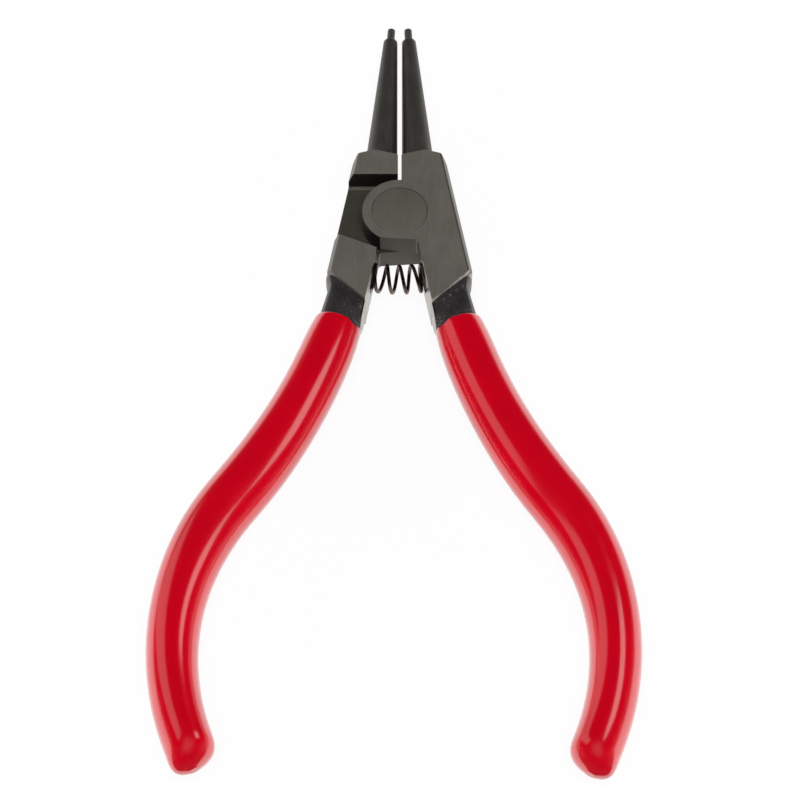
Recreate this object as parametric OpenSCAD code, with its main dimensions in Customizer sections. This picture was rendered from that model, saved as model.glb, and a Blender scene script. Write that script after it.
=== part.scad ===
// Circlip pliers for external rings: straight round jaws, lap joint, dipped grips.
// The tool lies flat with its jaws towards +Y and its handles towards -Y.
// Origin: the pivot axis, on the plane that the tool lies on.

/* [Head] */
// Thickness of the joint, across both lapped halves
head_t = 8; // [7:0.1:10]
// Radius of the round ear on each lever
ear_r = 6.2; // [5.7:0.1:6.8]
// Distance from the pivot to the flat under each ear
ear_flat = 5.5; // [5.2:0.1:5.9]
// Slope of that flat, in degrees
ear_flat_tilt = 4; // [0:0.5:8]
// Radius in the corner between that flat and the inner wall
ear_fillet = 0.8; // [0.2:0.1:1.2]
// Clearance between the two lapped halves
lap_gap = 0.06; // [0.02:0.01:0.1]
// Distance from the pivot to the step above the ear
lap_top = 7.4; // [7.2:0.1:8.4]
// Distance from the pivot to the step below the ear
lap_low = 8.15; // [7.6:0.05:9]
// Slope of the step below the ear, in degrees
lap_low_tilt = 23; // [15:1:28]

/* [Jaw blocks] */
// Gap between the two jaw blocks
block_gap = 0.6; // [0.5:0.05:1]
// Height of the block's top edge above the pivot
block_top = 11.4; // [10.5:0.1:13]
// Rise of that edge to its crown
block_crown = 1; // [0.2:0.1:1.4]
// Distance of the crown from the jaw's axis, outward
block_crown_out = 1.1; // [0.4:0.1:1.8]
// Width across the tops of both blocks
block_w = 15.6; // [14.4:0.1:17]
// Radius of the block's outer top corner
block_corner_r = 1.3; // [0.4:0.1:2]

/* [Shoulders] */
// Width across both shoulders, at their widest
shoulder_w = 24; // [22.5:0.1:27]
// Distance from the pivot down to the widest place
shoulder_low = 11; // [10:0.1:12.5]
// Radius of the shoulder's outer corner
shoulder_corner_r = 1.2; // [0.4:0.1:1.6]
// Width of the bevel along each lever's outer side
side_bevel_w = 0.8; // [0.2:0.1:1.2]
// Height of that bevel
side_bevel_h = 2.4; // [1:0.1:3]
// Slope of the edge where the ground face ends, in degrees
ground_end_tilt = 43; // [35:1:50]
// Distance from the middle to the inner wall, level with the spring
wall_x = 3.9; // [3.5:0.1:4.4]
// Lean of the inner wall, in degrees
wall_lean = 10.8; // [9:0.2:13]
// How much further out the left lever's inner wall stands
left_wall_out = 0.5; // [0:0.05:0.6]

/* [Jaws] */
// Length of each jaw above its block
jaw_len = 26.4; // [20:0.1:34]
// Jaw diameter at the block
jaw_base_d = 5.5; // [4.6:0.1:6.4]
// Jaw diameter at the tip
jaw_tip_d = 2.4; // [2:0.1:3]
// Gap between the two jaws, the same all along
jaw_gap = 0.76; // [0.7:0.02:1.4]
// Height of the bevel round the jaw's tip
jaw_nose_h = 0.5; // [0.2:0.05:1]
// Width of that bevel
jaw_nose_w = 0.35; // [0.1:0.05:0.4]

/* [Tip pins] */
// Diameter of the pin that enters the ring's eye
pin_d = 1.3; // [0.9:0.05:1.4]
// Length of that pin
pin_len = 2.2; // [1.6:0.1:3.2]
// Diameter of the pin's shank, inside the jaw
pin_shank_d = 0.7; // [0.5:0.05:0.75]
// Length of that shank
pin_shank_len = 4; // [2:0.2:8]
// Clearance round the shank in its socket
pin_clear = 0.01; // [0.005:0.005:0.05]

/* [Rivet] */
// Diameter of the rivet's shank
rivet_d = 6; // [4.5:0.1:7]
// Diameter of its two flush heads
rivet_head_d = 9.2; // [8:0.1:10]
// Depth of each head
rivet_head_h = 1.2; // [0.8:0.1:1.8]
// Running clearance round the rivet and under its heads
rivet_clear = 0.04; // [0.02:0.01:0.08]

/* [Handles] */
// Distance from the middle to the handle's centre, at the grip's rim
rim_x = 9.82; // [9.2:0.02:10.4]
// Distance from the pivot down to the grip's rim
rim_y = 20.1; // [19:0.1:22]
// Lean of the handle at the rim, in degrees
rim_lean = 18; // [16:0.5:20]
// Straight length after the rim
neck_len = 4.6; // [3:0.1:10]
// Radius of the outward bend
out_r = 100; // [70:1:160]
// Angle of the outward bend
out_turn = 18; // [10:0.5:22]
// Radius of the inward bend
in_r = 44; // [36:0.5:60]
// Angle of the inward bend
in_turn = 64; // [50:0.5:70]
// How far the left handle is set outward, in degrees
left_set = 0.75; // [-1:0.05:1]
// How far the right handle is set outward, in degrees
right_set = -0.55; // [-1:0.05:1]
// Width of the steel tang in the grip
tang_w = 6.8; // [6:0.1:7]
// Thickness of the tang
tang_t = 6.5; // [5.6:0.1:6.8]
// Radius that rounds the tang's edges
tang_round = 3.5; // [3.45:0.05:3.6]

/* [Grips] */
// Thickness of the grip
grip_t = 8; // [7.8:0.1:10]
// Width of the grip near its rim
grip_start_w = 9; // [8.6:0.1:11]
// Width of the grip near its end
grip_end_w = 7.8; // [7.8:0.1:10]
// Extra width at the swell
swell_w = 1.4; // [0:0.1:3]
// Distance from the rim to the swell
swell_at = 36; // [25:1:50]
// Length over which the swell fades
swell_len = 19; // [12:1:30]
// How much the coating thins at the rim, on each side
rim_thin = 0.5; // [0.1:0.05:0.5]
// Length over which it thins
rim_thin_len = 3; // [1.5:0.5:6]
// Length of the rounded end
grip_nose = 4.4; // [2:0.2:5]
// How far that end leans outward
nose_lean = 0.9; // [0:0.1:1.2]
// Length between the end of the tang and that rounded end
grip_cap = 0.2; // [0.2:0.2:4]
// Clearance between the tang and the grip
grip_clear = 0.12; // [0.1:0.01:0.2]

/* [Spring] */
// Outside diameter of the return spring
spring_d = 5; // [4:0.1:5.4]
// Diameter of its wire
wire_d = 0.6; // [0.35:0.05:0.7]
// Number of turns
spring_turns = 5; // [3.5:0.5:6]
// Distance from the pivot down to the spring's ends
spring_y = 10.6; // [10:0.1:11.4]
// Depth of the round seats in the inner walls
seat_depth = 0.55; // [0.4:0.05:0.9]
// Clearance round the spring in its seats
seat_clear = 0.15; // [0.05:0.05:0.3]

/* [Hidden] */
$fn = 64;
// Steps in a rounded corner of an outline
corner_steps = 6;
// Length of every cutting block, longer than the head is wide
cut_len = 80;
// How far a cut starts outside the face that it opens
cut_over = 1;

steel = "#54504a";
rivet_steel = "#514e46";
pin_steel = "#6d6860";
spring_steel = "#473c38";
red_coating = "#c20118";

// The mid-plane of the joint lies half the tool's thickness above the resting plane.
mid_z = max(head_t, grip_t) / 2;
half_t = head_t / 2;

// Plane geometry

function unit(v) = v / norm(v);

// Where the line through p along d meets the line through q along e
function meet(p, d, q, e) = p + d * cross(q - p, e) / cross(d, e);

// Points that round the corner b = [x, y, radius] between its neighbours a and c
function corner(a, b, c) =
    let (p = [b[0], b[1]])
    b[2] == 0 ? [p] :
    let (u = unit([a[0], a[1]] - p))
    let (v = unit([c[0], c[1]] - p))
    let (half = acos(u * v) / 2)
    let (centre = p + unit(u + v) * b[2] / sin(half))
    let (first = p + u * b[2] / tan(half) - centre)
    let (last = p + v * b[2] / tan(half) - centre)
    let (start = atan2(first.y, first.x))
    let (turn = atan2(last.y, last.x) - start)
    let (sweep = turn > 180 ? turn - 360 : turn < -180 ? turn + 360 : turn)
    [for (i = [0 : corner_steps])
        let (a = start + sweep * i / corner_steps)
        centre + b[2] * [cos(a), sin(a)]];

function rounded(corners) =
    let (n = len(corners))
    [for (i = [0 : n - 1])
        each corner(corners[(i + n - 1) % n], corners[i], corners[(i + 1) % n])];

function turned(p, a) = [p.x * cos(a) - p.y * sin(a), p.x * sin(a) + p.y * cos(a)];

// Each lever is drawn on the right, with z measured from the mid-plane of the joint.
// The left lever is the same forging turned over about Y, its inner wall milled a little deeper.

module on_right() {
    translate([0, 0, mid_z]) children();
}

module on_left() {
    translate([0, 0, mid_z]) rotate([0, 180, 0]) children();
}

// Head: jaw block, lapped ear and lower shoulder

// Share of the corner radius between the widest place and the end of the ground face
ground_end_drop = 1.1;
wall_dir = [sin(wall_lean), -cos(wall_lean)];
flat_dir = [cos(ear_flat_tilt), -sin(ear_flat_tilt)];
flat_foot = [0, -ear_flat / cos(ear_flat_tilt)];
ground_end_dir = [cos(ground_end_tilt), sin(ground_end_tilt)];
block_corner = [block_w / 2, block_top];
shoulder_corner = [shoulder_w / 2, -shoulder_low];
ground_end = shoulder_corner - shoulder_corner_r * [1, ground_end_drop];
side_lean = atan2(shoulder_corner.x - block_corner.x, block_corner.y - shoulder_corner.y);

// The inner wall of a lever, which may stand a little further out
function wall_foot(out) = [wall_x + out, -spring_y];
function wall_top(out) = meet(flat_foot, flat_dir, wall_foot(out), wall_dir);
function ground_end_inner(out) = meet(ground_end, ground_end_dir, wall_foot(out), wall_dir);

jaw_lean = atan((jaw_base_d - jaw_tip_d) / 2 / jaw_len);
jaw_x = jaw_gap / 2 + jaw_base_d / 2;

// Small radii that break the block's inner corner and its crown
block_inner_r = 0.3;
crown_r = 2;

function head_corners(out) = [
    [block_gap / 2, block_top, block_inner_r],
    [jaw_x + block_crown_out, block_top + block_crown, crown_r],
    [block_corner.x, block_corner.y, block_corner_r],
    [shoulder_corner.x, shoulder_corner.y, shoulder_corner_r],
    [ground_end.x, ground_end.y, 0],
    [ground_end_inner(out).x, ground_end_inner(out).y, 0],
    [wall_top(out).x, wall_top(out).y, ear_fillet],
    [flat_foot.x, flat_foot.y, 0],
    [block_gap / 2, 0, 0]
];

// The ear and the plate beside it fill the upper half of the joint only.
module ear_half(out) {
    ear_t = half_t - lap_gap / 2;
    translate([0, 0, lap_gap / 2]) {
        linear_extrude(ear_t) polygon(rounded(head_corners(out)));
        difference() {
            cylinder(r = ear_r, h = ear_t);
            rotate([0, 0, -ear_flat_tilt])
                translate([-cut_len / 2, -ear_flat - cut_len, -cut_over])
                    cube([cut_len, cut_len, ear_t + 2 * cut_over]);
        }
    }
}

// Above the upper step and below the lower step the lever has its full thickness.
module full_shoulders(out) {
    intersection() {
        translate([0, 0, -half_t]) linear_extrude(head_t) polygon(rounded(head_corners(out)));
        union() {
            translate([-cut_len / 2, lap_top, -head_t]) cube([cut_len, cut_len, 2 * head_t]);
            rotate([0, 0, lap_low_tilt])
                translate([-cut_len / 2, -lap_low - cut_len, -head_t])
                    cube([cut_len, cut_len, 2 * head_t]);
        }
    }
}

// Wedge that bevels the outer side along one face
module side_bevel() {
    translate([block_corner.x, block_corner.y, half_t])
        rotate([0, 0, side_lean])
            rotate([90, 0, 0])
                translate([0, 0, -cut_len / 2])
                    linear_extrude(cut_len)
                        polygon([[-side_bevel_w, 0], [-side_bevel_w, cut_over], [cut_over, cut_over],
                                 [cut_over, -side_bevel_h], [0, -side_bevel_h]]);
}

module head(out) {
    difference() {
        union() {
            ear_half(out);
            full_shoulders(out);
        }
        side_bevel();
        mirror([0, 0, 1]) side_bevel();
    }
}

// Jaw: a round taper whose inner side runs parallel to the middle line

module along_jaw() {
    translate([jaw_x, block_top, 0]) rotate([0, 0, jaw_lean]) rotate([-90, 0, 0]) children();
}

// How far the taper carries on down into the block
jaw_root = 3;
jaw_taper = (jaw_base_d - jaw_tip_d) / 2 / jaw_len;
jaw_end = jaw_len + jaw_nose_h;

module jaw() {
    along_jaw()
        rotate_extrude()
            polygon([[0, -jaw_root],
                     [jaw_base_d / 2 + jaw_root * jaw_taper, -jaw_root],
                     [jaw_tip_d / 2, jaw_len],
                     [jaw_tip_d / 2 - jaw_nose_w, jaw_end],
                     [0, jaw_end]]);
}

module pin_socket() {
    along_jaw()
        translate([0, 0, jaw_end - pin_shank_len - pin_clear])
            cylinder(d = pin_shank_d + 2 * pin_clear, h = pin_shank_len + cut_over);
}

module tip_pin() {
    along_jaw() {
        translate([0, 0, jaw_end - pin_shank_len]) cylinder(d = pin_shank_d, h = pin_shank_len);
        translate([0, 0, jaw_end]) cylinder(d = pin_d, h = pin_len);
    }
}

// Handle: a straight neck, a wide outward bend and a tighter inward bend

function heading(a) = [sin(a), -cos(a)];
function sideways(a) = [cos(a), sin(a)];

rim = [rim_x, -rim_y];
neck_end = rim + neck_len * heading(rim_lean);
out_lean = rim_lean + out_turn;
out_centre = neck_end + out_r * sideways(rim_lean);
out_end = out_centre - out_r * sideways(out_lean);
in_centre = out_end - in_r * sideways(out_lean);
out_len = out_r * out_turn * PI / 180;
in_len = in_r * in_turn * PI / 180;
handle_len = neck_len + out_len + in_len;
tang_len = handle_len - grip_nose - grip_cap;
tang_in_turn = (tang_len - neck_len - out_len) / in_r * 180 / PI;

// Lean and centre of the handle at the distance s along it from the rim
function lean_at(s) =
    s < neck_len ? rim_lean :
    s < neck_len + out_len ? rim_lean + (s - neck_len) / out_r * 180 / PI :
    out_lean - (s - neck_len - out_len) / in_r * 180 / PI;
function centre_at(s) =
    s < neck_len ? rim + s * heading(rim_lean) :
    s < neck_len + out_len ? out_centre - out_r * sideways(lean_at(s)) :
    in_centre + in_r * sideways(lean_at(s));

// Each stretch of the tang is a little larger than the next and runs on round its start.
stretch_step = 0.02;
stretch_lap = 0.4;

module tang_section(larger) {
    intersection() {
        circle(r = tang_round + larger);
        square([tang_w + 2 * larger, tang_t + 2 * larger], center = true);
    }
}

// The root is square-edged, and its inner side follows the wall, to just short of the rim.
root_stop = 0.6;
root_inset = 0.25;
root_drop = 2.3;

module tang_root(set, out) {
    outer_edge = rim + tang_w / 2 * sideways(rim_lean);
    outer_stop = turned(outer_edge - root_stop * heading(rim_lean), set);
    across = turned(sideways(rim_lean), set);
    linear_extrude(tang_t, center = true)
        polygon([
            wall_foot(out) + (wall_top(out) - wall_foot(out)) / 4,
            meet(outer_stop, across, wall_foot(out), wall_dir),
            outer_stop,
            shoulder_corner - [root_inset, root_drop],
            shoulder_corner - [2 * side_bevel_w, 0]
        ]);
}

module tang(set, out) {
    tang_root(set, out);
    rotate([0, 0, set]) {
        translate([rim.x, rim.y, 0])
            rotate([0, 0, rim_lean])
                translate([0, 2 * root_stop, 0])
                    rotate([90, 0, 0])
                        linear_extrude(2 * root_stop + neck_len + stretch_lap)
                            tang_section(2 * stretch_step);
        translate([out_centre.x, out_centre.y, 0])
            rotate([0, 0, rim_lean + 180])
                rotate_extrude(angle = out_turn + stretch_lap / out_r * 180 / PI)
                    translate([out_r, 0]) tang_section(stretch_step);
        translate([in_centre.x, in_centre.y, 0])
            rotate([0, 0, out_lean - tang_in_turn])
                rotate_extrude(angle = tang_in_turn) translate([in_r, 0]) tang_section(0);
    }
}

// Seat of the spring's end, sunk square into the inner wall
module spring_seat(out) {
    translate([wall_foot(out).x, wall_foot(out).y, 0])
        rotate([0, 0, wall_lean])
            rotate([0, 90, 0])
                translate([0, 0, -cut_over])
                    cylinder(d = spring_d + 2 * seat_clear, h = cut_over + seat_depth);
}

// Bore for the rivet's shank, and the recess that takes its head flush
module rivet_bore() {
    recess_h = rivet_head_h + rivet_clear;
    translate([0, 0, -head_t]) cylinder(d = rivet_d + 2 * rivet_clear, h = 2 * head_t);
    translate([0, 0, half_t - recess_h])
        cylinder(d = rivet_head_d + 2 * rivet_clear, h = recess_h + cut_over);
}

module lever(set, out) {
    difference() {
        union() {
            head(out);
            jaw();
            tang(set, out);
        }
        rivet_bore();
        spring_seat(out);
        pin_socket();
    }
}

// Grip: a skin of oval rings outside, with the tang's section inside

grip_sides = 20;
grip_step = 3;
tang_step = 4;
nose_steps = 6;
// A higher power is blunter; the last ring keeps the square root of the least share.
nose_power = 3.8;
nose_least = 0.04;
grip_rings = ceil((handle_len - grip_nose) / grip_step);
tang_rings = ceil(tang_len / tang_step);

// Shrinks the rings to a round end
function nose_part(s) = max(0, s - (handle_len - grip_nose)) / grip_nose;
function nose_scale(s) = sqrt(max(nose_least, 1 - pow(nose_part(s), nose_power)));
function thinning(s) = rim_thin * exp(-s / rim_thin_len);
function grip_half_w(s) =
    (grip_start_w + (grip_end_w - grip_start_w) * s / handle_len) / 2
    + swell_w / 2 * exp(-pow((s - swell_at) / swell_len, 2));

function outer_ring(s) =
    [for (i = [0 : grip_sides - 1])
        let (a = 360 * i / grip_sides)
        [nose_lean * pow(nose_part(s), 2), 0]
        + nose_scale(s) * [(grip_half_w(s) - thinning(s)) * cos(a),
                           (grip_t / 2 - thinning(s) / 2) * sin(a)]];

function inner_ring() =
    [for (i = [0 : grip_sides - 1])
        let (a = 360 * i / grip_sides)
        let (flat_w = tang_w / 2 / max(0.001, abs(cos(a))))
        let (flat_t = tang_t / 2 / max(0.001, abs(sin(a))))
        (min(tang_round, flat_w, flat_t) + grip_clear) * [cos(a), sin(a)]];

// A ring's points, stood up across the handle at the distance s
function placed(ring, s) =
    let (c = centre_at(s))
    let (across = sideways(lean_at(s)))
    [for (p = ring) [c.x + p.x * across.x, c.y + p.x * across.y, p.y]];

module grip() {
    cavity = tang_len + grip_clear;
    inside = [for (i = [tang_rings : -1 : 0]) placed(inner_ring(), cavity * i / tang_rings)];
    body = [for (i = [0 : grip_rings])
        let (s = (handle_len - grip_nose) * i / grip_rings)
        placed(outer_ring(s), s)];
    nose = [for (i = [1 : nose_steps])
        let (s = handle_len - grip_nose * (1 - sin(90 * i / nose_steps)))
        placed(outer_ring(s), s)];
    rings = concat(inside, body, nose);
    last = (len(rings) - 1) * grip_sides;
    polyhedron(
        [for (ring = rings) each ring],
        concat(
            [[for (i = [grip_sides - 1 : -1 : 0]) i]],
            [for (r = [0 : len(rings) - 2])
                for (i = [0 : grip_sides - 1])
                    let (a = r * grip_sides)
                    let (j = (i + 1) % grip_sides)
                    each [[a + i, a + j, a + grip_sides + j],
                          [a + i, a + grip_sides + j, a + grip_sides + i]]],
            [[for (i = [0 : grip_sides - 1]) last + i]]
        ));
}

// Spring: its turns fan out round the point where the two inner walls would meet,
// midway between them, so both end coils lie flat in their seats.

coil_r = (spring_d - wire_d) / 2;
fan_half = wall_x + left_wall_out / 2;
fan_r = fan_half / sin(wall_lean);
fan_y = fan_half / tan(wall_lean) - spring_y;
seat_play = 0.06;
end_angle = wall_lean + (seat_depth - wire_d / 2 - seat_play) / fan_r * 180 / PI;
// Turns at each end that lie close together, and their pitch
closed_turns = 0.75;
closed_pitch = 1.2 * wire_d / fan_r * 180 / PI;
open_pitch = (2 * end_angle - 2 * closed_turns * closed_pitch) / (spring_turns - 2 * closed_turns);
wire_sides = 8;
turn_steps = 18;

function fan_angle(t) =
    t < closed_turns ? -end_angle + t * closed_pitch :
    t > spring_turns - closed_turns ? end_angle - (spring_turns - t) * closed_pitch :
    -end_angle + closed_turns * closed_pitch + (t - closed_turns) * open_pitch;

// The wire's centre lies coil_r from the fan's arc; its section spans across and along.
function wire_ring(t) =
    let (turn = -360 * t)
    let (fan = fan_angle(t))
    [for (i = [0 : wire_sides - 1])
        let (a = 360 * i / wire_sides)
        let (reach = coil_r + wire_d / 2 * cos(a))
        let (along = wire_d / 2 * sin(a))
        let (r = fan_r + reach * cos(turn))
        [r * sin(fan) + along * cos(fan),
         fan_y - r * cos(fan) + along * sin(fan),
         reach * sin(turn)]];

module coil() {
    steps = spring_turns * turn_steps;
    last = steps * wire_sides;
    polyhedron(
        [for (k = [0 : steps]) each wire_ring(k / turn_steps)],
        concat(
            [[for (i = [wire_sides - 1 : -1 : 0]) i]],
            [for (k = [0 : steps - 1])
                for (i = [0 : wire_sides - 1])
                    let (a = k * wire_sides)
                    let (j = (i + 1) % wire_sides)
                    each [[a + i, a + j, a + wire_sides + j],
                          [a + i, a + wire_sides + j, a + wire_sides + i]]],
            [[for (i = [0 : wire_sides - 1]) last + i]]
        ));
}

// The pieces

module left_lever() {
    color(steel) on_left() lever(left_set, left_wall_out);
}

module right_lever() {
    color(steel) on_right() lever(right_set, 0);
}

module pivot_rivet() {
    color(rivet_steel)
        on_right()
            for (side = [0, 180])
                rotate([0, side, 0]) {
                    cylinder(d = rivet_d, h = half_t);
                    translate([0, 0, half_t - rivet_head_h])
                        cylinder(d = rivet_head_d, h = rivet_head_h);
                }
}

module return_spring() {
    color(spring_steel) on_right() translate([-left_wall_out / 2, 0, 0]) coil();
}

module left_grip() {
    color(red_coating) on_left() rotate([0, 0, left_set]) grip();
}

module right_grip() {
    color(red_coating) on_right() rotate([0, 0, right_set]) grip();
}

module left_tip_pin() {
    color(pin_steel) on_left() tip_pin();
}

module right_tip_pin() {
    color(pin_steel) on_right() tip_pin();
}

left_lever();
right_lever();
pivot_rivet();
return_spring();
left_grip();
right_grip();
left_tip_pin();
right_tip_pin();
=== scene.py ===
# %% [markdown]
# # Circlip pliers with dipped handles
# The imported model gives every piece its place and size. This lesson dresses it: bevelled and ground steel
# for the two levers, a turned rivet and turned pins, a wound spring and a glossy dipped coating.

# %% Load the frame
import math

import bmesh
import bpy
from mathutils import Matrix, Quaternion, Vector


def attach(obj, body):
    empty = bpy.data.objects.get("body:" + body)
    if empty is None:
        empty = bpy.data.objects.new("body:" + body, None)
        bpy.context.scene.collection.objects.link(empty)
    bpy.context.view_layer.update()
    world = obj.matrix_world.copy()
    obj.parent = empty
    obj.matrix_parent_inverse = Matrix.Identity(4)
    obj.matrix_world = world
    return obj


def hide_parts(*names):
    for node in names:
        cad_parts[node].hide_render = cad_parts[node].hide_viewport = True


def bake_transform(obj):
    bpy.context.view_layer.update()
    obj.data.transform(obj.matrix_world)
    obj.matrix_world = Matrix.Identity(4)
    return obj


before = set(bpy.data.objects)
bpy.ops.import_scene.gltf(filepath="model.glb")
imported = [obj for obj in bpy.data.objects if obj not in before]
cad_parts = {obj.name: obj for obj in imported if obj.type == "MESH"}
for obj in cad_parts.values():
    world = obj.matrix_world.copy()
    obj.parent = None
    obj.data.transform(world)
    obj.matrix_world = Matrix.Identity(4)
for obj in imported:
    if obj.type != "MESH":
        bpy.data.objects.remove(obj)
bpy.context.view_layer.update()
MM = 0.001
print("nodes:", sorted(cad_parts))

# %% [markdown]
# ## Sizes that the pieces share
# The pivot stands at the origin and the tool lies on the plane z = 0, jaws towards +Y. The sizes here are
# the ones that the solids were drawn with, in millimetres, so that a new piece lands exactly on its node.

# %% Sizes of the tool
MID_Z = 4.0
HEAD_T = 8.0
BLOCK_TOP = 11.4
BLOCK_CROWN_Y = 12.4
GROUND_END = (10.8, -12.32)
GROUND_END_TILT = math.radians(43)
RIM = Vector((9.82, -20.1))
RIM_LEAN = math.radians(18)
WALL_X = 3.9
WALL_OUT = {"left": 0.5, "right": 0.0}
WALL_LEAN = math.radians(10.8)
SPRING_Y = 10.6
HANDLE_SET = {"left": math.radians(0.75), "right": math.radians(-0.55)}
EAR_R = 6.2
EAR_FOOT = 5.2
LAP_TOP = 7.4
SIDE_LEAN = math.atan2(4.2, 22.4)
SIDE_TOP = (6.99, 11.4)


def inner_wall(y, name):
    """Distance from the middle line to the wall that carries the spring, at the height y."""
    return WALL_X + WALL_OUT[name] + (-SPRING_Y - y) * math.tan(WALL_LEAN)


def side_edge(y):
    """Distance from the middle line to the edge between the ground face and its bevelled outer side."""
    return SIDE_TOP[0] + (SIDE_TOP[1] - y) * math.tan(SIDE_LEAN)


def on_tang(p):
    """True below the slanted edge where the ground face of the shoulder ends."""
    return p.y / MM < GROUND_END[1] + (abs(p.x) / MM - GROUND_END[0]) * math.tan(GROUND_END_TILT)


# %% [markdown]
# ## Helpers
# Operators act on whatever is selected, so every step starts from a clean selection. Colours are written
# as sRGB hex values, as a paint program shows them, and one function turns them linear for the shader.

# %% Selection helpers
MERGE_WITHIN = 0.0005 * MM


def only(obj):
    """Leaves edit mode, then selects this object alone."""
    if bpy.context.object and bpy.context.object.mode != "OBJECT":
        bpy.ops.object.mode_set(mode="OBJECT")
    bpy.ops.object.select_all(action="DESELECT")
    obj.hide_set(False)
    obj.select_set(True)
    bpy.context.view_layer.objects.active = obj
    return obj


def edit(obj, kind="VERT"):
    """Enters edit mode on this object alone, to pick vertices, edges or faces."""
    only(obj)
    bpy.ops.object.mode_set(mode="EDIT")
    bpy.ops.mesh.select_mode(type=kind)


def pick(obj, kind, test):
    """In edit mode, selects the vertices, edges or faces that pass the test."""
    bpy.ops.mesh.select_all(action="DESELECT")
    bpy.ops.mesh.select_mode(type=kind)
    bm = bmesh.from_edit_mesh(obj.data)
    parts = {"VERT": bm.verts, "EDGE": bm.edges, "FACE": bm.faces}[kind]
    found = [p for p in parts if test(p)]
    for p in found:
        p.select_set(True)
    bm.select_flush_mode()
    bmesh.update_edit_mesh(obj.data)
    return len(found)


def finish_edit(obj, angle=30):
    """Recalculates the normals, leaves edit mode and smooths all but the sharp edges."""
    bpy.ops.mesh.select_all(action="SELECT")
    bpy.ops.mesh.normals_make_consistent(inside=False)
    bpy.ops.object.mode_set(mode="OBJECT")
    bpy.ops.object.shade_smooth_by_angle(angle=math.radians(angle))
    return obj


def merge():
    """In edit mode, merges the vertices that a cut or a bevel leaves on top of each other."""
    bpy.ops.mesh.select_mode(type="VERT")
    bpy.ops.mesh.select_all(action="SELECT")
    bpy.ops.mesh.remove_doubles(threshold=MERGE_WITHIN)


def place(obj):
    """Puts the object's place, turn and scale into its mesh."""
    only(obj)
    bpy.ops.object.transform_apply(location=True, rotation=True, scale=True)
    return obj


def open_edges(obj):
    """Number of edges that don't join exactly two faces."""
    bm = bmesh.new()
    bm.from_mesh(obj.data)
    count = sum(1 for e in bm.edges if len(e.link_faces) != 2)
    bm.free()
    return count


# %% Material helpers
def linear(hex_colour):
    """An sRGB hex value as a linear colour with alpha."""
    channels = [int(hex_colour[i : i + 2], 16) / 255 for i in (1, 3, 5)]
    return [c / 12.92 if c <= 0.04045 else ((c + 0.055) / 1.055) ** 2.4 for c in channels] + [1]


def new_material(name):
    """A material with an empty tree but for its shader, which is returned with it."""
    material = bpy.data.materials.new(name)
    material.use_nodes = True
    return material, material.node_tree.nodes["Principled BSDF"]


def add(tree, kind, settings=None, links=None):
    """Adds a node; settings name its properties or sockets, links its sockets and what feeds them."""
    node = tree.nodes.new(kind)
    for key, value in (settings or {}).items():
        if isinstance(key, str) and hasattr(node, key):
            setattr(node, key, value)
        else:
            node.inputs[key].default_value = value
    for key, source in (links or {}).items():
        tree.links.new(source, node.inputs[key])
    return node


def ramp_colours(node, stops):
    """Sets a colour ramp's stops from (position, hex) pairs."""
    elements = node.color_ramp.elements
    while len(elements) < len(stops):
        elements.new(0.5)
    for element, (position, hex_colour) in zip(elements, stops):
        element.position = position
        element.color = linear(hex_colour)


# %% [markdown]
# ## Ground tool steel
# The flat faces of the head are ground after forging. The wheel leaves fine scratches along the lever, and
# oil leaves faint darker clouds. A noise that is squeezed across the lever and drawn out along it gives
# the scratches; they are drawn about 0.15 mm apart, coarser than the real ones, so that they show.

# %% Ground steel
def scratched_steel(name, dark, light, roughness, scratch_mm, run_mm, turn=0.0, metallic=0.6, blend=0.2):
    """A steel with straight scratches along Y, turned about Z.

    Below 1, metallic leaves a matt oxide on it; a small blend draws the scratches apart.
    """
    material, shader = new_material(name)
    tree = material.node_tree
    shader.inputs["Metallic"].default_value = metallic
    where = add(tree, "ShaderNodeTexCoord")
    turned = add(tree, "ShaderNodeMapping",
                 {"Rotation": (0, 0, math.radians(turn))},
                 {"Vector": where.outputs["Object"]})
    drawn = add(tree, "ShaderNodeMapping",
                {"Scale": (1 / (scratch_mm * MM), 1 / (run_mm * MM), 1 / (scratch_mm * MM))},
                {"Vector": turned.outputs["Vector"]})
    scratches = add(tree, "ShaderNodeTexNoise", {"Scale": 1.0, "Detail": 4.0, "Roughness": 0.65},
                    {"Vector": drawn.outputs["Vector"]})
    clouds = add(tree, "ShaderNodeTexNoise", {"Scale": 1 / (3.5 * MM), "Detail": 3.0},
                 {"Vector": where.outputs["Object"]})
    both = add(tree, "ShaderNodeMix", {"data_type": "FLOAT", 0: 0.4},
               {2: scratches.outputs["Fac"], 3: clouds.outputs["Fac"]})
    colour = add(tree, "ShaderNodeValToRGB", None, {"Fac": both.outputs[0]})
    ramp_colours(colour, [(0.5 - blend, dark), (0.5 + blend, light)])
    rough = add(tree, "ShaderNodeMapRange",
                {"From Min": 0.25, "From Max": 0.75, "To Min": roughness - 0.07, "To Max": roughness + 0.09},
                {"Value": both.outputs[0]})
    bump = add(tree, "ShaderNodeBump", {"Strength": 0.5, "Distance": 0.004 * MM},
               {"Height": scratches.outputs["Fac"]})
    tree.links.new(colour.outputs["Color"], shader.inputs["Base Color"])
    tree.links.new(rough.outputs["Result"], shader.inputs["Roughness"])
    tree.links.new(bump.outputs["Normal"], shader.inputs["Normal"])
    return material


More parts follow.
